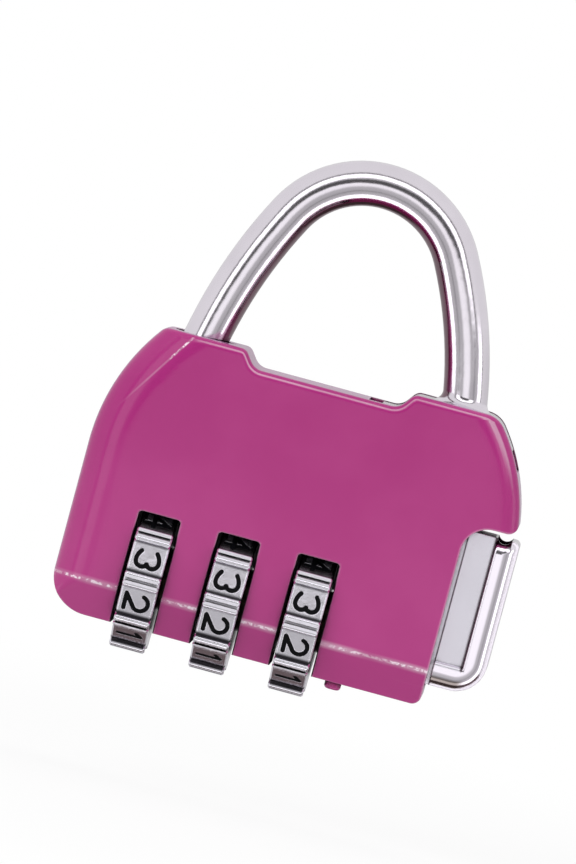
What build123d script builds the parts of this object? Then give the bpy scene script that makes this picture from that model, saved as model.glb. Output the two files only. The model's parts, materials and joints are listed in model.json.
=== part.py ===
"""Three-dial combination padlock for luggage: a lacquered two-part case, a bowed shackle cast
in one with its pivoting wing, a push button at the lower right, and three numbered dials.

Frame: X to the right, Y to the back, Z up. The origin is the inside of the shackle's crown,
where the padlock hangs, on the mid-plane between the two covers."""

import os
from math import atan, cos, radians, sin, sqrt

from build123d import *

# ---------------------------------------------------------------- driving dimensions, mm

# Shackle
shackle_bar_d = 4.3  # thickness of the bowed bar
crown_r = 7.05  # inside radius of the crown
crown_angle = 62.0  # the crown's arc runs this far to each side of the top
left_leg_r = 47.3  # bar's centre-line radius along each bowed leg
right_leg_r = 42.0
left_leg_angle = 16.0  # each leg turns through this
right_leg_angle = 18.0
leg_tail = 6.2  # straight end of the free leg, inside the case
flare_r = 0.9  # blend between the fixed leg and the wing

# Case
hang_drop = 39.35  # inside of the crown down to the dials' axis
case_width = 41.7
case_shift = -0.1  # middle of the case from the middle of the shackle
case_thickness = 10.6
case_wall = 1.1
below_axis = 5.1  # underside of the case below the dials' axis
shoulder_rise = 23.3  # top of the two shoulders above the dials' axis
shoulder_step = 1.6  # the strip between the shoulders lies this much lower
strip_shift = -0.4  # middle of the strip from the middle of the shackle
step_reach = 7.65  # middle of each step from the strip's middle
step_run = 1.2
top_round = 0.7
ridge_round = 0.8
side_arc_rise = 11.0  # above this height the sides curve inwards
left_arc_r = 19.7
right_arc_r = 18.3
corner_r = 0.9  # small corners of the outline
step_foot_r = 1.5
heel_r = 3.9  # bottom left corner
right_shoulder_r = 2.4
left_shoulder_r = 1.2
left_bend = (4.0, 2.6)  # width and depth of the soft bend down the left side
right_bend = (2.2, 1.4)
slope_rise = 3.55  # height of the sloping face along the bottom
slope_depth = 1.8  # how far it falls back
nub_r = 0.8  # cast nub on the underside
nub_reach = 7.4  # its middle from the shackle's middle
nub_front = 2.2  # in front of the mid-plane
nub_drop = 0.75  # below the case
leg_hole = (-15.85, -10.35)  # from left to right, in the left shoulder
leg_hole_depth = 4.7

# Bay for the release button
bay_reach = 15.82  # edge of the covers beside the button
lobe_rise = 12.85  # underside of the right lobe above the dials' axis
bay_corner_r = 2.6

# Dials
dial_count = 3
dial_pitch = 7.8
first_dial = -12.43  # middle of the left dial
dial_width = 3.45
dial_r = 7.5  # over the bars
flat_r = 6.85  # from the axis to a numbered flat
bar_width = 1.45  # raised double rib between two flats
rib_groove = (0.3, 0.22)  # width and depth of the groove between the two ribs
dial_bore_r = 3.02
dial_chamfer = 0.15
positions = 10
dial_turn = 3.5  # degrees the dials stand turned, their tops to the front
window_width = 4.1
window_rise = 6.0  # top of the windows above the dials' axis
window_round = 0.15  # rounded rim of each window
numeral_height = 2.65
numeral_width = 2.0
numeral_stroke = 0.44
numeral_depth = 0.16
enamel_sink = 0.05  # the enamel lies this much below the flat
code_shown = 2.5  # numeral height on the dial that faces straight forwards

# Frame that carries the dials
frame_left = -17.6
frame_right = 8.3
frame_top = 9.4  # above the dials' axis
dial_pocket_r = 7.8
journal_depth = 2.7  # the sleeves' bearings reach this far to each side of a dial
leaf_thickness = 0.15
leaf_width = 2.4
leaf_reach = 28  # degrees to each side of the top
leaf_tip_r = 7.0

# Spindle, sleeves and lugs
spindle_r = 1.2
sleeve_r = 3.0
sleeve_half = 2.6
gate_wall = 0.7  # flange of the sleeve that the gate is cut in
pocket_r = 2.5
pocket_length = 1.4
lug_r = 2.2
lug_width = 1.1
lug_length = 0.8
lug_place = 2.75  # first edge of each lug from the middle of its dial
bush_r = 2.2
bush_span = (-17.5, -15.6)
spindle_span = (-17.0, 16.5)

# Release button
button_reach = 21.1  # outer face of the button
button_top = 12.2  # above the dials' axis
button_bottom = 2.95  # below it
flange_half = 3.2  # the button's body where it slides in the case
panel_half = 3.4  # recessed panel
panel_reach = 16.2  # left edge of the panel
border_half = 4.05  # raised border along the right side and the bottom
border_reach = 18.8  # inner edge of the border's upright part
border_rise = -0.55  # upper edge of its level part, from the dials' axis
border_round = 1.45
border_inner_round = 0.35
notch = (0.75, 0.45)  # radius and depth of the rounded notch across the top of the border
top_corner_r = 0.5
button_corner_r = 3.0
button_back = 14.3
plunger_back = 12.8
plunger_r = 2.4
hollow = (18.9, 20.3, 3.2, 2.0)  # left, right, half depth and depth of the hollow in the top
pin_reach = 14.8  # cross pin through the button and the spindle
pin_r = 0.4

# Latch and hook
latch_half = 1.1
latch_span = (0.6, 10.8)
latch_rise = 9.55
latch_height = 1.8
post_span = (2.2, 3.6)
nose_reach = 4.6
nose_rise = 16.6
post_rise = 18.0
cheek_span = (-2.9, 8.2)
cheek_height = 2.3
cheek_wall = 1.0
foot_reach = 5.4  # free end of the hook's foot
foot_rise = 15.2
foot_height = 1.2
stem_width = 1.2
tenon_height = 1.6  # top of the hook, let into the wing
hook_half = 1.2

# Pivot
pivot_reach = 16.1
pivot_rise = 18.3
pivot_r = 0.9
boss_r = 2.4
wing_half = 3.5
wing_left = 4.95  # free end of the wing
wing_depth = 3.1  # below the strip
wing_cut = 1.07  # rise of the line right of the pivot where the wing ends on its boss
wing_sink = 0.05  # below the case's outline
wall_cut = 0.1  # rise of the line where the case's side wall begins again
pocket_left = 3.7  # left end of the opening for the wing
pin_half = 4.9
cover_boss_r = 2.2
coil_seat_r = 1.9  # seat of the torsion spring in the wing's boss
coil_seat_half = 2.0

# Screws
screw_r = 0.8
screw_head_r = 1.6
screw_post_r = 1.7
screw_depth = 3.4  # into the front cover
screw_places = ((-16.8, 12.6), (-3.2, 17.0), (10.3, 6.0))  # reach, and rise above the axis

# Clearances
running = 0.05  # shaft in its bore
slide_gap = 0.15  # between parts that slide past each other
free_gap = 0.3  # between parts that only pass
skin_gap = 0.1  # between the inner frame and the covers

# ---------------------------------------------------------------- worked-out places

dial_z = -hang_drop
half_thick = case_thickness / 2
cavity_half = half_thick - case_wall
case_left = case_shift - case_width / 2
case_right = case_shift + case_width / 2
bottom_z = dial_z - below_axis
shoulder_z = dial_z + shoulder_rise
strip_z = shoulder_z - shoulder_step
side_arc_z = dial_z + side_arc_rise
ridge_z = bottom_z + slope_rise
lobe_z = dial_z + lobe_rise
bar_r = shackle_bar_d / 2
dial_places = [first_dial + dial_pitch * n for n in range(dial_count)]
step_angle = 360 / positions
dial_axis = Axis((0, 0, dial_z), (1, 0, 0))
pivot_z = dial_z + pivot_rise
latch_z = dial_z + latch_rise
foot_z = dial_z + foot_rise
wing_under = strip_z - wing_depth
frame_top_z = dial_z + frame_top

os.makedirs("parts", exist_ok=True)


def keep(part, name):
    """Label a finished piece and write it."""
    part.label = name
    export_step(part, f"parts/{name}.step")


# ---------------------------------------------------------------- the case's form


def case_outline(inset):
    """Front outline of the case, shrunk by inset."""
    left = case_left + inset
    right = case_right - inset
    bottom = bottom_z + inset
    bay = bay_reach - inset
    lobe = lobe_z + inset
    top = shoulder_z - inset
    strip = strip_z - inset
    left_r = left_arc_r - inset
    right_r = right_arc_r - inset
    left_centre = left + left_r
    right_centre = right - right_r
    high = step_reach + step_run / 2 + inset
    low = step_reach - step_run / 2 + inset
    high_left, low_left = strip_shift - high, strip_shift - low
    high_right, low_right = strip_shift + high, strip_shift + low
    half_turn = cos(radians(22))
    half_rise = sin(radians(22))
    left_start = (left, side_arc_z)
    left_mid = (left_centre - left_r * half_turn, side_arc_z + left_r * half_rise)
    left_end = (left_centre - sqrt(left_r**2 - (top - side_arc_z) ** 2), top)
    right_start = (right_centre + sqrt(right_r**2 - (lobe - side_arc_z) ** 2), lobe)
    right_mid = (right_centre + right_r * half_turn, side_arc_z + right_r * half_rise)
    right_end = (right_centre + sqrt(right_r**2 - (top - side_arc_z) ** 2), top)
    rounds = (
        ((left, bottom), heel_r - inset),
        ((bay, bottom), corner_r),
        ((bay, lobe), bay_corner_r + inset),
        (right_start, max(corner_r - inset, 0.3)),
        (right_end, right_shoulder_r - inset),
        (left_end, left_shoulder_r),
        ((high_right, top), corner_r),
        ((high_left, top), corner_r),
        ((low_right, strip), step_foot_r),
        ((low_left, strip), step_foot_r),
    )
    with BuildSketch(Plane.XZ) as outline:
        with BuildLine():
            Polyline(left_start, (left, bottom), (bay, bottom), (bay, lobe), right_start)
            ThreePointArc(right_start, right_mid, right_end)
            Polyline(
                right_end,
                (high_right, top),
                (low_right, strip),
                (low_left, strip),
                (high_left, top),
                left_end,
            )
            ThreePointArc(left_end, left_mid, left_start)
        make_face()
        for (x, z), radius in rounds:
            fillet(outline.vertices().sort_by_distance((x, z, 0))[0], radius=radius)
    return outline.sketch


def bend_section(side, inset):
    """Level section of the case from its side arc's centre to its edge, side -1 or 1."""
    face = -(half_thick - inset)
    edge = case_left + inset if side < 0 else case_right - inset
    centre = edge - side * ((left_arc_r if side < 0 else right_arc_r) - inset)
    width, depth = left_bend if side < 0 else right_bend
    across = width - inset
    deep = depth - inset
    bend_start = edge - side * across
    with BuildSketch(Plane.XY.offset(side_arc_z)) as section:
        with BuildLine():
            Polyline((edge, face + deep), (edge, 0), (centre, 0), (centre, face), (bend_start, face))
            EllipticalCenterArc(
                (bend_start, face + deep),
                across,
                deep,
                start_angle=180 if side < 0 else 270,
                arc_size=90,
            )
        make_face()
    return section.sketch


def side_bends(inset):
    """Block whose left and right edges bend softly from the sides into the front face."""
    left_centre = case_left + left_arc_r
    right_centre = case_right - right_arc_r
    depth = half_thick - inset
    with BuildPart() as bends:
        with Locations((left_centre - 1, 0, shoulder_z)):
            Box(
                right_centre - left_centre + 2,
                depth,
                shoulder_z - bottom_z,
                align=(Align.MIN, Align.MAX, Align.MAX),
            )
        for side, centre in ((-1, left_centre), (1, right_centre)):
            section = bend_section(side, inset)
            extrude(section, amount=side_arc_z - bottom_z, dir=(0, 0, -1))
            revolve(section, axis=Axis((centre, 0, side_arc_z), (0, -side, 0)), revolution_arc=90)
    return bends.part


def case_half(inset):
    """Front half of the case as a solid, from the mid-plane forwards, shrunk by inset."""
    slope = atan(slope_depth / slope_rise)
    back = inset / cos(slope)
    face = -half_thick + back
    lip = face + slope_depth
    bends = side_bends(inset)
    with BuildPart() as half:
        extrude(case_outline(inset), amount=half_thick - inset, dir=(0, -1, 0))
        add(bends, mode=Mode.INTERSECT)
        with BuildSketch(Plane.YZ.offset(case_left)):
            with BuildLine():
                Polyline(
                    (face - slope_depth, ridge_z + slope_rise),
                    (lip, bottom_z),
                    (face - slope_depth, bottom_z),
                    close=True,
                )
            make_face()
        extrude(amount=case_width, mode=Mode.SUBTRACT)
    return half.part


inner_half = case_half(case_wall)
frame_form = case_half(case_wall + skin_gap)


def shell_form():
    """Outer form of a cover with its edges rounded."""
    with BuildPart() as form:
        add(case_half(0))
        edges = form.edges().filter_by(lambda e: e.bounding_box().max.Y < -0.2)
        crossing = edges.filter_by(lambda e: e.bounding_box().size.X > 0.01)
        fillet(crossing.filter_by(lambda e: e.bounding_box().min.Z > strip_z - 0.3), radius=top_round)
        front = form.edges().filter_by(lambda e: e.bounding_box().max.Y < 0.01 - half_thick)
        ridge = front.filter_by(lambda e: e.bounding_box().max.Z < ridge_z + 0.01)
        fillet(ridge, radius=ridge_round)
    return form.part


shell_half = shell_form()

# ---------------------------------------------------------------- shackle with its wing


def wing_outline(grow, cut):
    """Wing that fills the right shoulder, from its free end over the strip to the pivot boss."""
    left = wing_left - grow
    under = wing_under - grow
    with BuildSketch(Plane.XZ) as wing:
        add(case_outline(-grow))
        with BuildLine():
            Polyline(
                (left, under),
                (pivot_reach, under),
                (pivot_reach, pivot_z),
                (case_right, pivot_z + (case_right - pivot_reach) * cut),
                (case_right, shoulder_z + 1),
                (left, shoulder_z + 1),
                close=True,
            )
        make_face(mode=Mode.INTERSECT)
        with Locations((pivot_reach, pivot_z)):
            Circle(boss_r + grow)
    return wing.sketch


def hook_outline(grow):
    """L-shaped hook: a foot that points left, and a stem up into the wing."""
    left = foot_reach + 1 - grow
    right = foot_reach + 1 + stem_width + grow
    top = wing_under + tenon_height + grow
    with BuildSketch(Plane.XZ) as hook:
        with BuildLine():
            Polyline(
                (foot_reach, foot_z),
                (right, foot_z),
                (right, top),
                (left, top),
                (left, foot_z + foot_height),
                (foot_reach, foot_z + foot_height),
                close=True,
            )
        make_face()
    return hook.sketch


across_pivot = Plane(origin=(pivot_reach, 0, pivot_z), z_dir=(0, 1, 0))

with BuildLine(Plane.XZ) as bow:
    crown = CenterArc((0, -crown_r), crown_r + bar_r, 90 - crown_angle, arc_size=2 * crown_angle)
    right_leg = JernArc(crown @ 0, -(crown % 0), right_leg_r, -right_leg_angle)
    left_leg = JernArc(crown @ 1, crown % 1, left_leg_r, left_leg_angle)
    right_tail = Line(right_leg @ 1, (right_leg @ 1) + (right_leg % 1) * 2.5)
    left_tail = Line(left_leg @ 1, (left_leg @ 1) + (left_leg % 1) * leg_tail)

with BuildPart() as shackle:
    with BuildSketch(Plane(origin=left_tail @ 1, z_dir=-(left_tail % 1))):
        Circle(bar_r)
    sweep(path=bow.wires()[0])
    fillet(shackle.edges().sort_by(Axis.Z)[0], radius=bar_r * 0.45)
    extrude(wing_outline(-wing_sink, wing_cut), amount=wing_half, both=True)
    base = shackle.edges().filter_by(lambda e: abs(e.center().Z - shoulder_z) < 0.3)
    around = base.filter_by(lambda e: abs(e.bounding_box().size.X - shackle_bar_d) < 0.5)
    fillet(around, radius=flare_r)
    extrude(hook_outline(0.01), amount=hook_half + 0.01, both=True, mode=Mode.SUBTRACT)
    with Locations(across_pivot):
        Cylinder(pivot_r + running, 2 * wing_half + 2, mode=Mode.SUBTRACT)
    with Locations(across_pivot.offset(coil_seat_half)):
        Cylinder(coil_seat_r, 3, align=(Align.CENTER, Align.CENTER, Align.MIN), mode=Mode.SUBTRACT)
keep(shackle.part, "shackle")

with BuildPart() as latch_hook:
    extrude(hook_outline(0), amount=hook_half, both=True)
keep(latch_hook.part, "latch_hook")

# ---------------------------------------------------------------- covers


def cover_half():
    """What the two covers share, as the front one."""
    with BuildPart() as half:
        add(shell_half)
        add(inner_half, mode=Mode.SUBTRACT)
        for reach, rise in screw_places:
            with BuildSketch(Plane.XZ):
                with Locations((reach, dial_z + rise)):
                    Circle(screw_post_r)
            extrude(amount=cavity_half + 0.3)
        with BuildSketch(Plane.XZ.offset(wing_half + slide_gap)):
            with Locations((pivot_reach, pivot_z)):
                Circle(cover_boss_r)
        extrude(amount=cavity_half - wing_half)
        # opening over the wing
        opening = wing_outline(free_gap, wall_cut)
        extrude(opening, amount=wing_half + slide_gap, dir=(0, -1, 0), mode=Mode.SUBTRACT)
        with Locations((pocket_left, 0, strip_z + 1)):
            Box(
                wing_left - pocket_left + 1,
                2 * (wing_half + slide_gap),
                1 + 2 * case_wall,
                align=(Align.MIN, Align.CENTER, Align.MAX),
                mode=Mode.SUBTRACT,
            )
        # hole for the free leg
        hole_left, hole_right = leg_hole
        with BuildSketch(Plane.XY.offset(shoulder_z + 1)):
            with Locations(((hole_left + hole_right) / 2, 0)):
                SlotOverall(hole_right - hole_left, leg_hole_depth)
        extrude(amount=-(1 + 2 * case_wall), mode=Mode.SUBTRACT)
        # bay for the release button
        with Locations((plunger_back, 0, dial_z - button_bottom - 0.2)):
            Box(
                case_width,
                2 * cavity_half,
                button_top + button_bottom + 0.4,
                align=(Align.MIN, Align.CENTER, Align.MIN),
                mode=Mode.SUBTRACT,
            )
        # bore for the shackle's pin
        with Locations(across_pivot):
            Cylinder(pivot_r, 2 * pin_half + 0.1, mode=Mode.SUBTRACT)
        # windows for the dials, open below, cleared behind for the bars
        for place in dial_places:
            with BuildSketch(Plane.XZ):
                with Locations((place, dial_z + window_rise)):
                    RectangleRounded(window_width, 4 * window_rise, 0.35, align=(Align.CENTER, Align.MAX))
            extrude(amount=case_thickness, mode=Mode.SUBTRACT)
            skin = half.edges().filter_by(lambda e: e.bounding_box().min.Y < -cavity_half - 0.2)
            rim = skin.filter_by(lambda e: abs(e.center().X - place) < window_width / 2 + 0.01)
            fillet(rim, radius=window_round)
            with Locations(Plane(origin=(place, 0, dial_z), z_dir=(1, 0, 0))):
                Cylinder(dial_pocket_r, window_width, mode=Mode.SUBTRACT)
    return half.part


shared_half = cover_half()

with BuildPart() as front_cover:
    add(shared_half)
    with Locations((nub_reach, -nub_front, bottom_z - nub_drop)):
        Cylinder(nub_r, nub_drop + 0.5, align=(Align.CENTER, Align.CENTER, Align.MIN))
    fillet(front_cover.edges().sort_by(Axis.Z)[0], radius=0.35)
    for reach, rise in screw_places:
        with BuildSketch(Plane.XZ):
            with Locations((reach, dial_z + rise)):
                Circle(screw_r)
        extrude(amount=screw_depth, mode=Mode.SUBTRACT)
keep(front_cover.part, "front_cover")

with BuildPart() as rear_cover:
    add(mirror(shared_half, about=Plane.XZ, mode=Mode.PRIVATE))
    for reach, rise in screw_places:
        with Locations(Plane(origin=(reach, half_thick, dial_z + rise), z_dir=(0, 1, 0))):
            CounterSinkHole(screw_r + 0.15, screw_head_r + 0.1)
keep(rear_cover.part, "rear_cover")

with BuildPart() as cover_screws:
    for reach, rise in screw_places:
        with Locations(Plane(origin=(reach, half_thick - 0.1, dial_z + rise), z_dir=(0, 1, 0))):
            Cylinder(
                screw_r - 0.02,
                half_thick + screw_depth - 0.2,
                align=(Align.CENTER, Align.CENTER, Align.MAX),
            )
            Cone(
                screw_r - 0.02,
                screw_head_r,
                screw_head_r - screw_r + 0.02,
                align=(Align.CENTER, Align.CENTER, Align.MAX),
            )
        with Locations((reach, half_thick, dial_z + rise)):
            Box(2.1, 0.9, 0.4, mode=Mode.SUBTRACT)
            Box(0.4, 0.9, 2.1, mode=Mode.SUBTRACT)
keep(cover_screws.part, "cover_screws")

with BuildPart() as shackle_pivot_pin:
    with Locations(across_pivot):
        Cylinder(pivot_r - 0.01, 2 * pin_half)
    chamfer(shackle_pivot_pin.edges().filter_by(GeomType.CIRCLE), length=0.15)
keep(shackle_pivot_pin.part, "shackle_pivot_pin")


def coil(start, height, pitch, radius, wire_r, direction):
    """Coil of round wire that begins at start and runs along direction."""
    with BuildLine() as path:
        Helix(pitch, height, radius, center=start, direction=direction)
    with BuildPart() as wound:
        with BuildSketch(Plane(origin=path.line @ 0, z_dir=path.line % 0)):
            Circle(wire_r)
        sweep(path=path.wires()[0], is_frenet=True)
    return wound.part


shackle_spring = coil((pivot_reach, coil_seat_half + 0.25, pivot_z), 1.1, 0.44, 1.42, 0.17, (0, 1, 0))
keep(shackle_spring, "shackle_spring")

# ---------------------------------------------------------------- frame that carries the dials

with BuildPart() as dial_frame:
    with Locations((frame_left, 0, frame_top_z)):
        Box(
            frame_right - frame_left,
            case_thickness,
            frame_top + below_axis,
            align=(Align.MIN, Align.CENTER, Align.MAX),
        )
    add(frame_form + frame_form.mirror(Plane.XZ), mode=Mode.INTERSECT)
    cheek_left, cheek_right = cheek_span
    for side in (-1, 1):
        with Locations((cheek_left, side * (latch_half + slide_gap), frame_top_z - 0.2)):
            Box(
                cheek_right - cheek_left,
                cheek_wall,
                cheek_height + 0.2,
                align=(Align.MIN, Align.MIN if side > 0 else Align.MAX, Align.MIN),
            )
    with Locations((cheek_left, 0, frame_top_z - 0.2)):
        Box(
            0.7,
            2 * (latch_half + slide_gap) + 0.5,
            cheek_height + 0.2,
            align=(Align.MAX, Align.CENTER, Align.MIN),
        )
    for place in dial_places:
        with Locations(Plane(origin=(place, 0, dial_z), z_dir=(1, 0, 0))):
            Cylinder(dial_pocket_r, window_width, mode=Mode.SUBTRACT)
            Cylinder(sleeve_r + running, 2 * journal_depth, mode=Mode.SUBTRACT)
    bore_left = bush_span[0] - 1
    with Locations(Plane(origin=(bore_left, 0, dial_z), z_dir=(1, 0, 0))):
        Cylinder(
            spindle_r + slide_gap,
            frame_right + 1 - bore_left,
            align=(Align.CENTER, Align.CENTER, Align.MIN),
            mode=Mode.SUBTRACT,
        )
        Cylinder(
            bush_r,
            bush_span[1] - bore_left,
            align=(Align.CENTER, Align.CENTER, Align.MIN),
            mode=Mode.SUBTRACT,
        )
    with Locations((dial_places[0], 0, dial_z)):
        Box(
            frame_right + 1 - dial_places[0],
            lug_width + 0.2,
            lug_r + 0.2,
            align=(Align.MIN, Align.CENTER, Align.MIN),
            mode=Mode.SUBTRACT,
        )
keep(dial_frame.part, "dial_frame")

with BuildPart() as spindle_bush:
    with Locations(Plane(origin=(bush_span[0], 0, dial_z), z_dir=(1, 0, 0))):
        Cylinder(
            bush_r - 0.01,
            bush_span[1] - bush_span[0],
            align=(Align.CENTER, Align.CENTER, Align.MIN),
        )
        Cylinder(spindle_r + running, 20, mode=Mode.SUBTRACT)
keep(spindle_bush.part, "spindle_bush")


# leaf that lies under the frame's bridge and dips between two bars of a dial
with BuildPart() as leaf:
    outer_r = dial_pocket_r - 0.01
    inner_r = outer_r - leaf_thickness
    with BuildSketch(Plane(origin=(-leaf_width / 2, 0, dial_z), x_dir=(0, 1, 0), z_dir=(1, 0, 0))):
        with BuildLine():
            upper = CenterArc((0, 0), outer_r, 90 - leaf_reach, arc_size=2 * leaf_reach)
            lower_right = CenterArc((0, 0), inner_r, 80, arc_size=10 - leaf_reach)
            lower_left = CenterArc((0, 0), inner_r, 100, arc_size=leaf_reach - 10)
            Line(upper @ 0, lower_right @ 1)
            Line(upper @ 1, lower_left @ 1)
            Polyline(lower_right @ 0, (0, leaf_tip_r), lower_left @ 0)
        make_face()
        with BuildLine():
            Polyline(
                (-1.15, outer_r + 0.1),
                (0, leaf_tip_r + leaf_thickness * 1.2),
                (1.15, outer_r + 0.1),
                close=True,
            )
        make_face(mode=Mode.SUBTRACT)
    extrude(amount=leaf_width)

turned_leaf = leaf.part.rotate(dial_axis, dial_turn)
for count, place in enumerate(dial_places, start=1):
    keep(Pos(place, 0, 0) * turned_leaf, f"detent_spring_{count}")

# ---------------------------------------------------------------- dials


def numeral_lines(numeral):
    """Strokes of one numeral, upright about the origin."""
    high = (numeral_height - numeral_stroke) / 2
    wide = (numeral_width - numeral_stroke) / 2
    curl = high * 0.55
    with BuildLine() as strokes:
        if numeral == 0:
            Line((-wide, -high + wide), (-wide, high - wide))
            Line((wide, -high + wide), (wide, high - wide))
            CenterArc((0, high - wide), wide, 0, arc_size=180)
            CenterArc((0, wide - high), wide, 180, arc_size=180)
        if numeral == 1:
            Polyline((-wide * 0.6, high * 0.6), (wide * 0.1, high), (wide * 0.1, -high))
        if numeral == 2:
            top = CenterArc((0, high - wide), wide, 160, arc_size=-200)
            Polyline(top @ 1, (-wide, -high), (wide, -high))
        if numeral == 3:
            upper = CenterArc((wide - curl, high - curl), curl, -60, arc_size=150)
            lower = CenterArc((wide - curl, curl - high), curl, 60, arc_size=-150)
            JernArc(upper @ 1, (-1, 0), high * 1.3, 40)
            JernArc(lower @ 1, (-1, 0), high * 1.3, -40)
        if numeral == 4:
            Polyline((wide, -high * 0.35), (-wide, -high * 0.35), (wide * 0.4, high), (wide * 0.4, -high))
        if numeral == 5:
            Polyline((wide, high), (-wide * 0.8, high), (-wide * 0.8, high * 0.15))
            CenterArc((0, wide - high), wide, 150, arc_size=-290)
        if numeral == 6:
            CenterArc((0, wide - high), wide, 0, arc_size=360)
            Line((-wide, wide - high), (wide * 0.3, high))
        if numeral == 7:
            Polyline((-wide, high), (wide, high), (-wide * 0.3, -high))
        if numeral == 8:
            CenterArc((0, high / 2), high / 2, 0, arc_size=360)
            CenterArc((0, -high / 2), high / 2, 0, arc_size=360)
        if numeral == 9:
            CenterArc((0, high - wide), wide, 0, arc_size=360)
            Line((wide, high - wide), (-wide * 0.3, -high))
    return strokes.line


def numeral_face(numeral):
    """One numeral as flat strokes."""
    with BuildSketch() as face:
        for stroke in numeral_lines(numeral).edges():
            SlotArc(stroke, numeral_stroke)
    return face.sketch


numeral_faces = [numeral_face(numeral) for numeral in range(positions)]


def numeral_plane(numeral):
    """Plane at the floor of a numeral's engraving; a numeral's top points to the right."""
    turn = radians((numeral - code_shown) * step_angle)
    floor = flat_r - numeral_depth
    return Plane(
        origin=(0, -floor * cos(turn), dial_z + floor * sin(turn)),
        x_dir=(0, -sin(turn), -cos(turn)),
        z_dir=(0, -cos(turn), sin(turn)),
    )


def numerals(depth):
    """All numerals of one dial, raised by depth from the floor of the engraving."""
    with BuildPart() as ring:
        for numeral in range(positions):
            with Locations(numeral_plane(numeral)):
                add(extrude(numeral_faces[numeral], amount=depth, mode=Mode.PRIVATE))
    return ring.part


engraving = numerals(numeral_depth + 0.2)
enamel = numerals(numeral_depth - enamel_sink)

# ten-sided dial with a double rib over each corner
with BuildPart() as dial:
    with BuildSketch(Plane.YZ.offset(-dial_width / 2)):
        with Locations((0, dial_z)):
            RegularPolygon(flat_r, positions, major_radius=False, rotation=0)
            with PolarLocations(0, positions):
                with Locations((dial_r - 1, 0)):
                    RectangleRounded(2, bar_width, 0.3)
                with Locations((dial_r, 0)):
                    Rectangle(2 * rib_groove[1], rib_groove[0], mode=Mode.SUBTRACT)
            Circle(dial_bore_r, mode=Mode.SUBTRACT)
    extrude(amount=dial_width)
    ends = dial.edges().filter_by(lambda e: e.bounding_box().size.X < 0.001)
    chamfer(ends.filter_by(lambda e: e.geom_type != GeomType.CIRCLE or e.radius < 1), length=dial_chamfer)
    add(engraving, mode=Mode.SUBTRACT)

# sleeve pressed into a dial: a pocket for the spindle's lug behind a gated flange
with BuildPart() as clutch_sleeve:
    with Locations(Plane(origin=(0, 0, dial_z), z_dir=(1, 0, 0))):
        Cylinder(sleeve_r, 2 * sleeve_half)
        Cylinder(spindle_r + 0.1, 2 * sleeve_half, mode=Mode.SUBTRACT)
    pocket_start = sleeve_half - gate_wall - pocket_length
    with Locations(Plane(origin=(pocket_start, 0, dial_z), z_dir=(1, 0, 0))):
        Cylinder(
            pocket_r,
            pocket_length,
            align=(Align.CENTER, Align.CENTER, Align.MIN),
            mode=Mode.SUBTRACT,
        )
    with Locations((pocket_start, 0, dial_z)):
        Box(
            case_width,
            lug_width + 0.2,
            pocket_r - 0.1,
            align=(Align.MIN, Align.CENTER, Align.MIN),
            mode=Mode.SUBTRACT,
        )

turned_dial = dial.part.rotate(dial_axis, dial_turn)
turned_enamel = enamel.rotate(dial_axis, dial_turn)
for count, place in enumerate(dial_places, start=1):
    keep(Pos(place, 0, 0) * turned_dial, f"dial_{count}")
    keep(Pos(place, 0, 0) * turned_enamel, f"dial_{count}_numerals")
    keep(Pos(place, 0, 0) * clutch_sleeve.part, f"clutch_sleeve_{count}")

# ---------------------------------------------------------------- spindle and release button

with BuildPart() as spindle:
    with Locations(Plane(origin=(spindle_span[0], 0, dial_z), z_dir=(1, 0, 0))):
        Cylinder(
            spindle_r,
            spindle_span[1] - spindle_span[0],
            align=(Align.CENTER, Align.CENTER, Align.MIN),
        )
    chamfer(spindle.edges().filter_by(GeomType.CIRCLE), length=0.2)
    for place in dial_places:
        with Locations((place + lug_place, 0, dial_z)):
            Box(lug_length, lug_width, lug_r, align=(Align.MIN, Align.CENTER, Align.MIN))
    with Locations((pin_reach, 0, dial_z)):
        Cylinder(pin_r, 4 * spindle_r, mode=Mode.SUBTRACT)
keep(spindle.part, "spindle")


def button_outline(left, upper):
    """Front outline of the button from left outwards and from upper downwards."""
    lower = dial_z - button_bottom
    with BuildSketch(Plane.XZ) as outline:
        with Locations((left, lower)):
            Rectangle(button_reach - left, dial_z + upper - lower, align=(Align.MIN, Align.MIN))
        fillet(outline.vertices().sort_by_distance((button_reach, lower, 0))[0], radius=button_corner_r)
        fillet(outline.vertices().sort_by_distance((button_reach, dial_z + upper, 0))[0], radius=top_corner_r)
    return outline.sketch


with BuildPart() as border:
    extrude(button_outline(panel_reach, button_top), amount=border_half, both=True)
    outer = border.edges().filter_by(lambda e: abs(abs(e.center().Y) - border_half) < 0.01)
    right = outer.filter_by(lambda e: e.bounding_box().min.X > button_reach - button_corner_r - 0.01)
    under = outer.filter_by(lambda e: e.bounding_box().max.Z < dial_z - button_bottom + 0.01)
    fillet(right.filter_by(lambda e: e.bounding_box().size.Z > 0.01) + under, radius=border_round)
    with Locations((0, 0, dial_z + border_rise)):
        Box(
            2 * border_reach,
            case_thickness,
            case_width,
            align=(Align.CENTER, Align.CENTER, Align.MIN),
            mode=Mode.SUBTRACT,
        )
    inner = border.edges().filter_by(lambda e: abs(abs(e.center().Y) - border_half) < 0.01)
    upright = inner.filter_by(lambda e: abs(e.center().X - border_reach) < 0.01)
    level = inner.filter_by(lambda e: abs(e.center().Z - dial_z - border_rise) < 0.01)
    fillet(upright + level, radius=border_inner_round)

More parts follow.
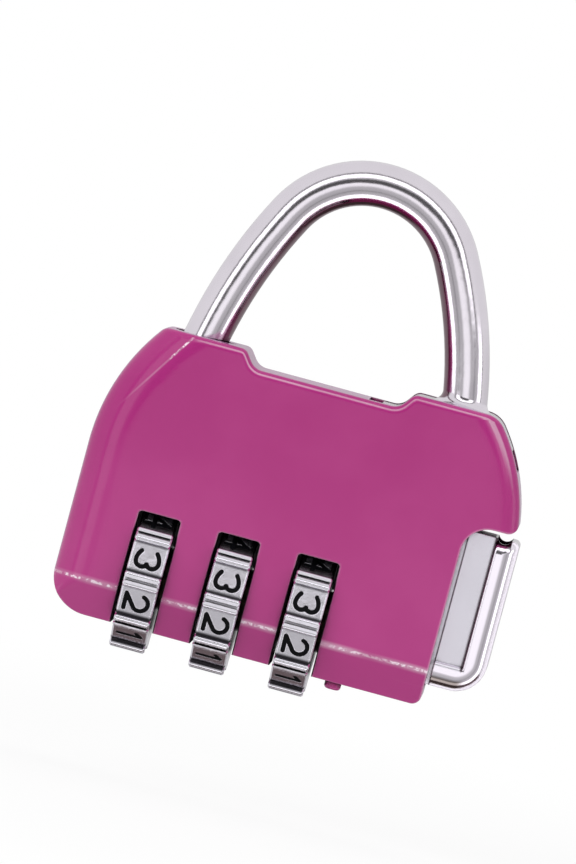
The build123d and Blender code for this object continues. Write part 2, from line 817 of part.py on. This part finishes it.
with BuildPart() as release_button:
    extrude(button_outline(button_back, button_top), amount=flange_half, both=True)
    extrude(button_outline(panel_reach, button_top), amount=panel_half, both=True)
    extrude(button_outline(button_back, button_top), amount=border_half, both=True, mode=Mode.INTERSECT)
    add(border.part)
    with Locations(Plane(origin=(plunger_back, 0, dial_z), z_dir=(1, 0, 0))):
        Cylinder(plunger_r, 2, align=(Align.CENTER, Align.CENTER, Align.MIN))
        Cylinder(
            spindle_r + 0.01,
            spindle_span[1] - plunger_back,
            align=(Align.CENTER, Align.CENTER, Align.MIN),
            mode=Mode.SUBTRACT,
        )
    hollow_left, hollow_right, hollow_half, hollow_depth = hollow
    with Locations((hollow_left, 0, dial_z + button_top)):
        Box(
            hollow_right - hollow_left,
            2 * hollow_half,
            hollow_depth,
            align=(Align.MIN, Align.CENTER, Align.MAX),
            mode=Mode.SUBTRACT,
        )
    notch_r, notch_depth = notch
    notch_middle = ((hollow_left + hollow_right) / 2, 0, dial_z + button_top + notch_r - notch_depth)
    with Locations(Plane(origin=notch_middle, z_dir=(0, 1, 0))):
        Cylinder(notch_r, case_thickness, mode=Mode.SUBTRACT)
    with Locations((pin_reach, 0, dial_z + 2)):
        Cylinder(pin_r, 10, align=(Align.CENTER, Align.CENTER, Align.MAX), mode=Mode.SUBTRACT)
keep(release_button.part, "release_button")

with BuildPart() as spindle_pin:
    with Locations((pin_reach, 0, dial_z)):
        Cylinder(pin_r - 0.01, 4)
keep(spindle_pin.part, "spindle_pin")

return_spring = coil((frame_right + 0.2, 0, dial_z), plunger_back - frame_right - 0.4, 0.9, 1.9, 0.175, (1, 0, 0))
keep(return_spring, "return_spring")

# ---------------------------------------------------------------- latch

with BuildPart() as latch_slide:
    with BuildSketch(Plane.XZ):
        with BuildLine():
            Polyline(
                (latch_span[0], latch_z),
                (latch_span[1], latch_z),
                (latch_span[1], latch_z + latch_height),
                (post_span[1], latch_z + latch_height),
                (post_span[1], dial_z + nose_rise),
                (nose_reach, dial_z + nose_rise),
                (nose_reach, dial_z + post_rise - 0.9),
                (nose_reach - 0.9, dial_z + post_rise),
                (post_span[0], dial_z + post_rise),
                (post_span[0], latch_z + latch_height),
                (latch_span[0], latch_z + latch_height),
                close=True,
            )
        make_face()
    extrude(amount=latch_half, both=True)
keep(latch_slide.part, "latch_slide")

coil_z = latch_z + latch_height / 2
latch_spring = coil((cheek_left + 0.12, 0, coil_z), latch_span[0] - cheek_left - 0.24, 0.6, 0.7, 0.11, (1, 0, 0))
keep(latch_spring, "latch_spring")
release_spring = coil((latch_span[1] + 0.15, 0, coil_z), button_back - latch_span[1] - 0.3, 0.7, 0.7, 0.14, (1, 0, 0))
keep(release_spring, "release_spring")
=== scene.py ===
"""Luggage combination padlock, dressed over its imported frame."""

import json
import math
import bpy
from mathutils import Matrix, Vector


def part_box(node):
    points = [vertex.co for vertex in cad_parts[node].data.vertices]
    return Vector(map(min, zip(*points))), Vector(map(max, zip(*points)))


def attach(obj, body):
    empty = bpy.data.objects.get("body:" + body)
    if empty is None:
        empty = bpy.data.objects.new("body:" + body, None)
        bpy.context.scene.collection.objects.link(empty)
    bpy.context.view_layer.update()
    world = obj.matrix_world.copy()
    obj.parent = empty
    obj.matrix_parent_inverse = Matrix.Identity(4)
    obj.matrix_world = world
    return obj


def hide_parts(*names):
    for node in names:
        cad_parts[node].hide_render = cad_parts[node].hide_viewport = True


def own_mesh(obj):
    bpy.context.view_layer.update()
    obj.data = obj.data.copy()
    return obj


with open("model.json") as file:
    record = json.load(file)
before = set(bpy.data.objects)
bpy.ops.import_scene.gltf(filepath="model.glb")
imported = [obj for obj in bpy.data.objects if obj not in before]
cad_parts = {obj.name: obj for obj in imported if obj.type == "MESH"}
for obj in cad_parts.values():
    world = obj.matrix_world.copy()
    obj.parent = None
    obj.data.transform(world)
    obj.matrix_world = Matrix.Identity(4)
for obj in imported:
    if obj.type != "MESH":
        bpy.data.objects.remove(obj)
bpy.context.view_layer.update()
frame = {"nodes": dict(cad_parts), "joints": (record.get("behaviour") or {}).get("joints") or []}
bpy.ops.object.select_all(action="DESELECT")
nodes = frame["nodes"]

# ---------------------------------------------------------------- camera
# A long lens a little to the right of and above the padlock. The padlock is shown leaning
# 15 degrees to the right, so the camera rolls to the left.
aim = Vector((-0.0030, 0.0, -0.0228))
distance, lens = 0.9, 394.7
aside, above, lean = math.radians(2), math.radians(2.5), math.radians(15.05)
away = Vector((math.sin(aside) * math.cos(above), -math.cos(aside) * math.cos(above), math.sin(above)))
level_right = Vector((0, 0, 1)).cross(away).normalized()
level_up = away.cross(level_right)
camera_up = level_up * math.cos(lean) - level_right * math.sin(lean)
camera_right = camera_up.cross(away)
camera_data = bpy.data.cameras.new("camera")
camera_data.lens = lens
camera_data.clip_start = 0.01
camera = bpy.data.objects.new("camera", camera_data)
camera.matrix_world = (
    Matrix.Translation(aim + away * distance)
    @ Matrix((camera_right, camera_up, away)).transposed().to_4x4()
)
bpy.context.collection.objects.link(camera)
bpy.context.scene.camera = camera
bpy.context.scene.view_settings.view_transform = "Standard"

# ---------------------------------------------------------------- covers
# Two zinc castings in a glossy magenta lacquer with a faint orange peel, lying unevenly along the ridge
# above the bottom slope. The colour holds painted highlights on the ridge, the rounded edges and a crease,
# a painted lighter tone towards the bottom, a painted violet sheen at grazing angles and painted shade in
# recesses.


class Socket:
    """A shader socket that takes part in sums; node() adds any other node beside it."""

    def __init__(self, tree, socket=None):
        self.tree, self.socket = tree, socket

    def node(self, kind, settings, sockets, output=0):
        """A new node with these settings and sockets; gives back one of its outputs."""
        made = self.tree.nodes.new("ShaderNode" + kind)
        for name, value in settings.items():
            if name == "stops":
                while len(made.color_ramp.elements) < len(value):
                    made.color_ramp.elements.new(0.5)
                for element, (stop, shade) in zip(made.color_ramp.elements, value):
                    element.position, element.color = stop, (shade, shade, shade, 1)
            else:
                setattr(made, name, value)
        for name, value in sockets.items():
            if isinstance(value, Socket):
                self.tree.links.new(value.socket, made.inputs[name])
            else:
                made.inputs[name].default_value = value
        return Socket(self.tree, made.outputs[output])

    def math(self, operation, other=0.0):
        return self.node("Math", {"operation": operation}, {0: self, 1: other})

    def __add__(self, other):
        return self.math("ADD", other)

    def __sub__(self, other):
        return self.math("SUBTRACT", other)

    def __rsub__(self, other):
        return self.node("Math", {"operation": "SUBTRACT"}, {0: other, 1: self})

    def __mul__(self, other):
        return self.math("MULTIPLY", other)

    __radd__, __rmul__ = __add__, __mul__

    def between(self, low, high):
        """0 below low, 1 above high and smooth between them."""
        return self.node(
            "MapRange",
            {"interpolation_type": "SMOOTHSTEP"},
            {"Value": self, "From Min": low, "From Max": high},
        )

    def noise(self, scale, detail=2.0, roughness=0.5):
        """Cloudy noise at this place, scale in cells to the metre."""
        sockets = {"Vector": self, "Scale": scale, "Detail": detail, "Roughness": roughness}
        return self.node("TexNoise", {}, sockets)

    def part(self, axis):
        """One part, X, Y or Z, of a place or a direction."""
        return self.node("SeparateXYZ", {}, {0: self}, axis)

    def open_air(self, distance, inside=False):
        """How open the surface is within this distance, or how thick inside it."""
        settings = {"samples": 8, "inside": inside}
        return self.node("AmbientOcclusion", settings, {"Distance": distance}, "AO")

    def mix(self, first, second):
        """Colour between the first and the second by this amount."""
        return self.node("Mix", {"data_type": "RGBA"}, {0: self, 6: first, 7: second}, 2)

    def dot(self, other):
        """How far two directions agree, from -1 to 1."""
        return self.node("VectorMath", {"operation": "DOT_PRODUCT"}, {0: self, 1: other}, 1)

    def bump(self, distance, radius=0.0, strength=1.0):
        """Bump of this height, over edges rounded to radius."""
        sockets = {"Height": self, "Distance": distance, "Strength": strength}
        if radius:
            sockets["Normal"] = self.node("Bevel", {"samples": 6}, {"Radius": radius})
        return self.node("Bump", {}, sockets)


class Finish:
    """A material with its plain values set, and the place on the object to paint by."""

    def __init__(self, name, colour, roughness, metallic=0.0, **others):
        self.material = bpy.data.materials.new(name)
        self.material.use_nodes = True
        self.tree = self.material.node_tree
        self.shader = self.tree.nodes["Principled BSDF"]
        plain = {"Base_Color": (*colour, 1), "Roughness": roughness, "Metallic": metallic, **others}
        for socket, value in plain.items():
            self.shader.inputs[socket.replace("_", " ")].default_value = value
        self.place = Socket(self.tree).node("TexCoord", {}, {}, "Object")

    def normal(self):
        """The direction that the surface faces."""
        return self.place.node("TexCoord", {}, {}, "Normal")

    def paint(self, **sockets):
        """Lets these sockets of the shader change over the surface."""
        for name, value in sockets.items():
            self.tree.links.new(value.socket, self.shader.inputs[name.replace("_", " ")])

    def put_on(self, *names):
        """Gives this finish to the named parts."""
        for name in names:
            nodes[name].material_slots[0].material = self.material


upper_magenta, lit_lower_magenta = (0.390, 0.018, 0.183, 1), (0.450, 0.040, 0.224, 1)
violet_sheen, glint, shade = (0.34, 0.17, 0.38, 1), (0.95, 0.78, 0.88, 1), (0.006, 0.002, 0.004, 1)
foot_nub, bottom_slope = 0.00075, 0.0034
face_top, face_foot, side_bend, left_shoulder = -0.018, -0.040, 0.0155, 0.0128
crease_x, crease_z, crease_lean = -0.0139, -0.0165, 0.65
crease_bright, crease_faded, crease_foot = -0.0182, -0.0205, -0.0250
lacquer = Finish("magenta lacquer", (0.44, 0.035, 0.21), 0.3, Coat_Roughness=0.06, Specular_IOR_Level=0.25)
place = lacquer.place
x, height = place.part("X"), place.part("Z")
normal = lacquer.normal()
forwards = normal.part("Y").math("ABSOLUTE")
upwards = normal.part("Z").between(0.15, 0.3)
drift = place.noise(90, 3).between(0.35, 0.65)
peel = place.noise(1500, 1)
open_air = place.open_air(0.002).between(0.45, 0.78)

bottom_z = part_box("front_cover")[0].z + foot_nub
ridge_z = bottom_z + bottom_slope
# Painted highlight along the ridge: a pale glow and specks of painted glint on the ridge line; the same
# specks also roughen its bump.
off_ridge = (height - ridge_z).math("ABSOLUTE")
ridge = 1 - off_ridge.between(0.00005, 0.0002)
glow = (1 - off_ridge.between(0.00005, 0.0005)) * place.noise(220, 1).between(0.3, 0.65) * 0.4
speck_clusters = 0.25 + place.noise(260, 1).between(0.4, 0.6) * 0.75
glint_specks = place.noise(2600, 2, 0.7).between(0.42, 0.62) * speck_clusters

# Painted highlight lines along the rounded side and top edges.
side_rim_highlight = forwards.between(0.25, 0.4) * (1 - forwards.between(0.7, 0.85)) * (1 - upwards)
side_rim_highlight = side_rim_highlight * (1 - x.math("ABSOLUTE").between(side_bend, side_bend + 0.0007))
side_rim_highlight = side_rim_highlight * height.between(bottom_z - 0.0002, bottom_z + 0.0002)
top_rim_highlight = forwards.between(0.78, 0.84) * (1 - forwards.between(0.9, 0.96)) * (0.6 + drift * 0.4)
top_rim_highlight = upwards * top_rim_highlight * (1 - (0 - x).between(left_shoulder, left_shoulder + 0.0012))
# Painted highlight along the soft crease of the left bend.
off_crease = ((x - crease_x) - (height - crease_z) * crease_lean).math("ABSOLUTE")
crease_highlight = (1 - off_crease.between(0.00002, 0.00018)) * forwards.between(0.7, 0.8)
crease_highlight = crease_highlight * (0.14 + height.between(crease_bright - 0.001, crease_bright) * glint_specks * 0.9)
crease_highlight = crease_highlight * height.between(crease_foot, crease_faded)
# Painted highlight on convex edges, found where the cover is thin under the surface.
edge_highlight = 1 - place.open_air(0.0003, inside=True).between(0.55, 0.9)
shine = glow + ridge * glint_specks + (side_rim_highlight * 0.3 + top_rim_highlight * 0.38) + crease_highlight + edge_highlight * 0.28

# Painted lighter tone towards the bottom, standing in for light from below, mixed with a random drift of
# tone.
drift_and_lit_lower = drift * 0.4 + height.between(face_top, face_foot) * 0.6
# Painted violet sheen at grazing angles, standing in for the bright background reflected there; skin holds
# these painted tones.
grazing = place.node("LayerWeight", {}, {"Blend": 0.5}, "Facing").between(0.6, 0.95)
skin = (grazing * 0.6).mix(drift_and_lit_lower.mix(upper_magenta, lit_lower_magenta), violet_sheen)
# The base colour takes painted shade in recesses and window walls, under the painted highlights.
lacquer.paint(
    Base_Color=open_air.mix(shade, shine.mix(skin, glint)),
    Coat_Weight=open_air * 0.45,
    Roughness=0.26 + place.noise(400, 3) * 0.08 + (1 - open_air) * 0.6,
    Normal=(peel * 0.5 + ridge * glint_specks * 1.5).bump(0.00001, 0.00012),
)
lacquer.put_on("front_cover", "rear_cover")

# ---------------------------------------------------------------- shackle
# Zinc casting with its wing in one piece, polished and chrome plated. The plate is clear,
# with hairlines along the bar from polishing and a faint waviness of the casting.
cool_plate, warm_plate, inner_reflection_colour = (0.83, 0.78, 0.85, 1), (0.87, 0.82, 0.89, 1), (0.22, 0.14, 0.17, 1)
crown_middle, loop_foot = -0.00705, -0.0172
chrome = Finish("chrome plate", (0.83, 0.82, 0.85), 0.1, 1.0)
place = chrome.place
cloud = place.noise(260, 3)
hairs = place.node("Mapping", {}, {"Vector": place, "Scale": (1, 1, 0.12)}).noise(5200, 2, 0.6)
x, z = place.part("X"), place.part("Z")
# Painted reflection: the inner side of the loop near its feet is painted dark, standing in for the case
# reflected there.
outward = place.node("CombineXYZ", {}, {"X": x, "Z": (z - crown_middle).math("MAXIMUM")})
outward = place.node("VectorMath", {"operation": "NORMALIZE"}, {0: outward})
facing_in = 0 - chrome.normal().dot(outward)
inside = facing_in.between(0.6, 0.74) * z.between(loop_foot, loop_foot + 0.0012)
plate = cloud.between(0.3, 0.7).mix(cool_plate, warm_plate)
chrome.paint(
    Base_Color=inside.mix(plate, inner_reflection_colour),
    Roughness=0.08 + cloud * 0.06 + hairs * 0.04,
    Normal=(cloud * 4 + hairs * 0.3).bump(0.00001, 0.00012),
)
chrome.put_on("shackle")

# ---------------------------------------------------------------- release button
# Chrome-plated zinc casting that slides in at the side of the case. A softly blasted panel
# lies between a polished level bar and a polished upright border, which is hollow on top.
bar_plate, panel_plate = (0.95, 0.89, 0.98, 1), (0.94, 0.91, 1.0, 1)
dark_underside_reflection, button_shade = (0.20, 0.16, 0.14, 1), (0.05, 0.03, 0.04, 1)
panel_edge, border_foot, border_edge = 0.0186, 0.01882, 0.0203
bar_drop, hollow_front, hollow_depth, underside_reflection_reach = 0.0011, -0.0039, 0.0021, 0.0198
button_chrome = Finish("button plate", (0.83, 0.82, 0.85), 0.12, 1.0)
place = button_chrome.place
axis_z = (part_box("dial_1")[0].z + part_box("dial_1")[1].z) / 2
bar_top = axis_z - bar_drop
hollow_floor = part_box("release_button")[1].z - hollow_depth
across, back, up = place.part("X"), place.part("Y"), place.part("Z")
underside = 0 - button_chrome.normal().part("Z")
level_bar = 1 - up.between(bar_top, bar_top + 0.0003)
panel = (1 - across.between(panel_edge, panel_edge + 0.0002)) * (1 - level_bar)
blast = place.noise(4200, 1)
# Painted shade: the base colour darkens in recesses, along a shadow line at the foot of the upright
# border, and inside the hollow on top.
hidden = place.open_air(0.0015).between(0.25, 0.65)
corner_shadow_line = (across - border_foot).math("ABSOLUTE").between(0.0, 0.00026)
corner_shadow_line = (corner_shadow_line + level_bar).math("MINIMUM", 1.0)
hollow = across.between(border_foot, border_foot + 0.0001)
hollow = hollow * back.between(hollow_front, hollow_front + 0.0002)
hollow = hollow * (1 - across.between(border_edge, border_edge + 0.0001))
hollow = hollow * up.between(hollow_floor, hollow_floor + 0.0002)
# Painted reflection: the downward-facing bevels of the level bar are painted dark brown, standing in for
# the dark floor reflected there; plate below holds it.
underside_reflection = underside.between(0.25, 0.4) * (1 - across.between(panel_edge, underside_reflection_reach)) * 0.9
plate = underside_reflection.mix(panel.mix(bar_plate, panel_plate), dark_underside_reflection)
button_chrome.paint(
    Base_Color=(hidden * corner_shadow_line * (1 - hollow)).mix(button_shade, plate),
    Roughness=0.09 + panel * 0.2 + place.noise(300, 3) * 0.05,
    Normal=(panel * blast).bump(0.000006, 0.00014),
)
button_chrome.put_on("release_button")

# ---------------------------------------------------------------- dials
# Cast zinc dials in satin chrome. The ribs are rubbed bright. The flats carry a painted dark shadow band
# beside each rib, and painted shade darkens the recesses.
satin_plate, dial_shade = (0.90, 0.87, 0.95, 1), (0.035, 0.032, 0.038, 1)
numeral_step, code_shown, dial_turn = 36.0, 2.5, 3.5
shadow_after, shadow_before = (5.3, 9.5), (28.5, 30.8)  # in degrees past a rib
dial_chrome = Finish("dial plate", (0.74, 0.74, 0.78), 0.2, 1.0)
place = dial_chrome.place
rub = place.noise(900, 3)
# Painted shade in recesses, and painted shadow bands on the flats beside the ribs, a fainter one before
# the next rib.
recess = place.open_air(0.001).between(0.45, 0.88)
y, z = place.part("Y"), place.part("Z")
turned = place.node("Math", {"operation": "ARCTAN2"}, {0: z - axis_z, 1: 0 - y}) * math.degrees(1)
after_rib = (turned + dial_turn + 360).math("MODULO", numeral_step)
start, end = shadow_after
rib_shadow = after_rib.between(start, start + 0.5) * (1 - after_rib.between(end - 2.9, end)) * 0.98
start, end = shadow_before
fainter_shadow = after_rib.between(start, start + 1.5) * (1 - after_rib.between(end - 0.5, end)) * 0.35
rib_shadow = rib_shadow + fainter_shadow
dial_chrome.paint(
    Base_Color=(recess * (1 - rib_shadow)).mix(dial_shade, satin_plate),
    Roughness=0.16 + rub * 0.12,
    Normal=(rub * 2).bump(0.00001, 0.0001),
)
dial_chrome.put_on("dial_1", "dial_2", "dial_3")

# ---------------------------------------------------------------- numerals
# Black enamel, wiped into the engraved numerals and left a little below the flats. It has
# dried dull and a little uneven.
enamel = Finish("black enamel", (0.003, 0.003, 0.004), 0.4, 0.0, Specular_IOR_Level=0.08)
place = enamel.place
pool = place.noise(1400, 2)
enamel.paint(Roughness=0.34 + pool * 0.2, Normal=pool.bump(0.00002))
enamel.put_on("dial_1_numerals", "dial_2_numerals", "dial_3_numerals")

# ---------------------------------------------------------------- loops of the eights
# Small round islands of the dial's own plated metal inside the two loops of each engraved
# eight. They are cast with the dial, from the floor of the engraving up to the flat.


def choose_faces(piece, wanted):
    """Opens a piece for editing, with only the wanted faces selected."""
    bpy.ops.object.mode_set(mode="EDIT")
    bpy.ops.mesh.select_mode(type="FACE")
    bpy.ops.mesh.select_all(action="DESELECT")
    bpy.ops.object.mode_set(mode="OBJECT")
    for face in piece.data.polygons:
        face.select = wanted(face)
    bpy.ops.object.mode_set(mode="EDIT")


def copy_of(piece, name, shift):
    """A copy of a finished piece, with its own mesh, moved by this shift."""
    copy = bpy.data.objects.new(name, piece.data.copy())
    copy.data.transform(Matrix.Translation(shift))
    bpy.context.collection.objects.link(copy)
    return copy


flat_radius, engraving, loop_radius, loop_offset = 0.00685, 0.00016, 0.00033, 0.00055
softened_rim = 0.00002
eight_turn = math.radians((8 - code_shown) * numeral_step - dial_turn)
outwards = Vector((0, -math.cos(eight_turn), math.sin(eight_turn)))
bpy.ops.mesh.primitive_cylinder_add(
    vertices=40,
    radius=loop_radius,
    depth=engraving,
    location=Vector((0, 0, axis_z)) + outwards * (flat_radius - engraving / 2),
    rotation=outwards.to_track_quat("Z", "X").to_euler(),
)
pattern = bpy.context.active_object
choose_faces(pattern, lambda face: face.normal.z > 0.9)
bpy.ops.mesh.bevel(offset=softened_rim, segments=2)
bpy.ops.object.mode_set(mode="OBJECT")
bpy.ops.object.transform_apply(location=True, rotation=True)
pattern.data.materials.append(dial_chrome.material)
for name in ("dial_1", "dial_2", "dial_3"):
    low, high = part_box(name + "_numerals")
    middle = (low.x + high.x) / 2
    for side, offset in {"left": -loop_offset, "right": loop_offset}.items():
        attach(copy_of(pattern, f"{name}_eight_{side}_loop", (middle + offset, 0, 0)), name)
bpy.data.objects.remove(pattern)

# ---------------------------------------------------------------- dial frame
# Glass-filled black nylon moulding that lies between the covers and carries the dials. Its
# skin is matt and slightly mottled.
black, worn_black = (0.010, 0.009, 0.012, 1), (0.030, 0.029, 0.033, 1)
nylon = Finish("black nylon", (0.014, 0.013, 0.016), 0.42)
place = nylon.place
mottle = place.noise(1100, 4, 0.65)
nylon.paint(
    Base_Color=mottle.between(0.4, 0.7).mix(black, worn_black),
    Roughness=0.28 + mottle * 0.3,
    Normal=mottle.bump(0.00012, 0.0001),
)
nylon.put_on("dial_frame")

# ---------------------------------------------------------------- frame lips
# Small lips of the black frame beside the upper half of each dial, moulded with the frame.
# They close the gap between the dial's flank and the frame, so no light comes through.
lip_gap, lip_width, lip_depth, lip_edge = 0.00006, 0.0005, 0.0044, 0.00003
sleeve_clearance, lip_reach = 0.0003, 0.0076
lip_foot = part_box("clutch_sleeve_1")[1].z + sleeve_clearance
lip_height = axis_z + lip_reach - lip_foot
bpy.ops.mesh.primitive_cube_add(size=1, location=(0, 0, lip_foot + lip_height / 2))
pattern = bpy.context.active_object
pattern.scale = (lip_width, lip_depth, lip_height)
bpy.ops.object.transform_apply(location=True, rotation=True, scale=True)
choose_faces(pattern, lambda face: True)
bpy.ops.mesh.bevel(offset=lip_edge, segments=2)
bpy.ops.object.mode_set(mode="OBJECT")
pattern.data.materials.append(nylon.material)
for name in ("dial_1", "dial_2", "dial_3"):
    low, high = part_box(name)
    beside = lip_gap + lip_width / 2
    for side, middle in {"left": low.x - beside, "right": high.x + beside}.items():
        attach(copy_of(pattern, f"{name}_{side}_lip", (middle, 0, 0)), "case")
bpy.data.objects.remove(pattern)

# ---------------------------------------------------------------- steel parts
# Turned and drawn steel inside the case: spindle, pins, latch and springs, with fine
# turning lines and a thin film of grease.
greased_steel, bare_steel = (0.46, 0.46, 0.47, 1), (0.62, 0.62, 0.63, 1)
steel = Finish("turned steel", (0.55, 0.55, 0.56), 0.3, 1.0)
place = steel.place
lines = place.node("Mapping", {}, {"Vector": place, "Scale": (1, 0.05, 0.05)}).noise(9000, 1)
film = place.noise(500, 3)
steel.paint(
    Base_Color=film.between(0.35, 0.7).mix(greased_steel, bare_steel),
    Roughness=0.2 + lines * 0.2,
    Normal=lines.bump(0.00001, 0.00008),
)
steel.put_on("spindle", "spindle_pin", "shackle_pivot_pin", "latch_slide", "latch_hook")
steel.put_on("shackle_spring", "return_spring", "latch_spring", "release_spring")
steel.put_on("detent_spring_1", "detent_spring_2", "detent_spring_3")

# ---------------------------------------------------------------- button springs
# Return spring and release spring, coiled from steel wire. The first seats against the frame and the
# second against the latch. Each is copied from the imported spring with its doubled points merged, and
# held to the case.
travel = next(joint["range_m"][1] for joint in frame["joints"] if joint["name"] == "button_press")
for name in ("return_spring", "release_spring"):
    low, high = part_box(name)
    coil = copy_of(nodes[name], name + "_coil", (0, 0, 0))
    bpy.context.view_layer.objects.active = coil
    choose_faces(coil, lambda face: True)
    bpy.ops.mesh.remove_doubles(threshold=0.000001)
    bpy.ops.object.mode_set(mode="OBJECT")
    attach(coil, "case")
    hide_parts(name)
    1 - travel / (high.x - low.x)
    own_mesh(coil)

# ---------------------------------------------------------------- brass parts
# Brass bush of the spindle and one clutch sleeve in each dial, turned from bar. The brass is a little
# tarnished, and painted shade makes it nearly black deep inside the case.
fresh_brass, tarnished_brass = (0.66, 0.47, 0.18, 1), (0.42, 0.27, 0.10, 1)
brass_in_shade = (0.01, 0.008, 0.005, 1)
brass = Finish("machined brass", (0.62, 0.43, 0.16), 0.3, 1.0)
place = brass.place
tarnish = place.noise(700, 4).between(0.35, 0.75)
shaded = place.open_air(0.003).between(0.35, 0.8)
brass.paint(
    Base_Color=shaded.mix(brass_in_shade, tarnish.mix(fresh_brass, tarnished_brass)),
    Roughness=0.22 + tarnish * 0.2,
    Normal=tarnish.bump(0.00001, 0.00008),
)
brass.put_on("spindle_bush", "clutch_sleeve_1", "clutch_sleeve_2", "clutch_sleeve_3")

# ---------------------------------------------------------------- cover screws
# Countersunk steel screws with a cross recess, put in through the rear cover. They are
# blackened, and worn a little towards bare steel.
black_oxide, worn_oxide = (0.06, 0.06, 0.065, 1), (0.22, 0.22, 0.23, 1)
blackened = Finish("blackened steel", (0.09, 0.09, 0.1), 0.35, 0.9)
place = blackened.place
wear = place.noise(1300, 3).between(0.5, 0.75)
blackened.paint(
    Base_Color=wear.mix(black_oxide, worn_oxide),
    Roughness=0.3 + wear * 0.15,
    Normal=wear.bump(0.00001, 0.0001),
)
blackened.put_on("cover_screws")

# ---------------------------------------------------------------- floor and lights
# A plain pale floor just under the padlock, a white background, and soft studio lamps. The
# metal reflects bright and dark panels that stand round it.
floor_gap = 0.012
bpy.ops.mesh.primitive_plane_add(size=4, location=(0, 0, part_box("dial_1")[0].z - floor_gap))
floor = bpy.context.active_object
floor.name = "floor"
pale = bpy.data.materials.new("pale floor")
pale.use_nodes = True
start = Socket(pale.node_tree)
ground = pale.node_tree.nodes["Principled BSDF"]
ground.inputs["Base Color"].default_value = (0.8, 0.8, 0.8, 1)
ground.inputs["Roughness"].default_value = 0.9
on_floor = start.node("TexCoord", {}, {}, "Object")
away_from_middle = start.node("VectorMath", {"operation": "LENGTH"}, {0: on_floor}, 1)
whitened = 0.9 + away_from_middle.between(0.05, 0.15) * 0.1
seen = start.node("LightPath", {}, {}, "Is Camera Ray") * whitened
mirrored = start.node("LightPath", {}, {}, "Is Glossy Ray")
white = start.node("Emission", {}, {"Color": (1, 1, 1, 1), "Strength": 1.0})
clear = start.node("BsdfTransparent", {}, {})
lit = Socket(pale.node_tree, ground.outputs[0])
mixed = start.node("MixShader", {}, {0: mirrored, 1: lit, 2: clear})
mixed = start.node("MixShader", {}, {0: seen, 1: mixed, 2: white})
pale.node_tree.links.new(mixed.socket, pale.node_tree.nodes["Material Output"].inputs["Surface"])
floor.data.materials.append(pale)

panel_strength, table_brown, soft_grey = 2.0, (0.13, 0.10, 0.10, 1), (0.4, 0.4, 0.4, 1)
world = bpy.data.worlds.new("studio")
bpy.context.scene.world = world
world.use_nodes = True
tree = world.node_tree
direction = Socket(tree).node("TexCoord", {}, {}, "Generated")
towards_front = direction.dot(tuple(away))
rise = direction.dot(tuple(camera_up))
camera_ray = direction.node("LightPath", {}, {}, "Is Camera Ray")
glossy_ray = direction.node("LightPath", {}, {}, "Is Glossy Ray")
turn = {0: 0.5 - towards_front * 0.5}
over = direction.node(
    "ValToRGB",
    {"stops": [
        (0.0, 0.32), (0.055, 0.24), (0.07, 0.85), (0.15, 0.85), (0.17, 0.12), (0.205, 0.12),
        (0.23, 0.40), (0.95, 0.38), (1.0, 0.30),
    ]},
    turn,
)
under = direction.node(
    "ValToRGB",
    {"stops": [
        (0.0, 0.53), (0.012, 0.50), (0.03, 0.26), (0.1, 0.22), (0.12, 0.12), (0.14, 0.22), (0.25, 0.26),
        (0.27, 0.85), (0.42, 0.85), (0.44, 0.07), (0.46, 0.07), (0.48, 0.36), (1.0, 0.30),
    ]},
    turn,
)
camera_shadow = rise.between(0.01, 0.06) * (1 - rise.between(0.3, 0.4)) * towards_front.between(0.88, 0.93)
table = (1 - rise.between(-0.7, -0.5)) * (1 - towards_front.between(0.1, 0.16))
studio = rise.between(-0.03, 0.08).mix(under, over) * panel_strength * (1 - camera_shadow * 0.85)
studio = table.mix(studio, table_brown)
shown = camera_ray.mix(glossy_ray.mix(soft_grey, studio), (1, 1, 1, 1))
tree.links.new(shown.socket, tree.nodes["Background"].inputs["Color"])

lamp_size = 0.30
for name, spot, power in (
    ("key", (-0.25, -0.30, 0.30), 1.3),
    ("fill", (0.35, -0.25, 0.05), 0.5),
    ("top", (0.05, 0.10, 0.40), 0.8),
):
    lamp_data = bpy.data.lights.new(name, "AREA")
    lamp_data.size = lamp_size
    lamp_data.energy = power
    lamp = bpy.data.objects.new(name, lamp_data)
    lamp.location = spot
    lamp.rotation_euler = (aim - Vector(spot)).to_track_quat("-Z", "Y").to_euler()
    lamp.visible_glossy = False
    bpy.context.collection.objects.link(lamp)
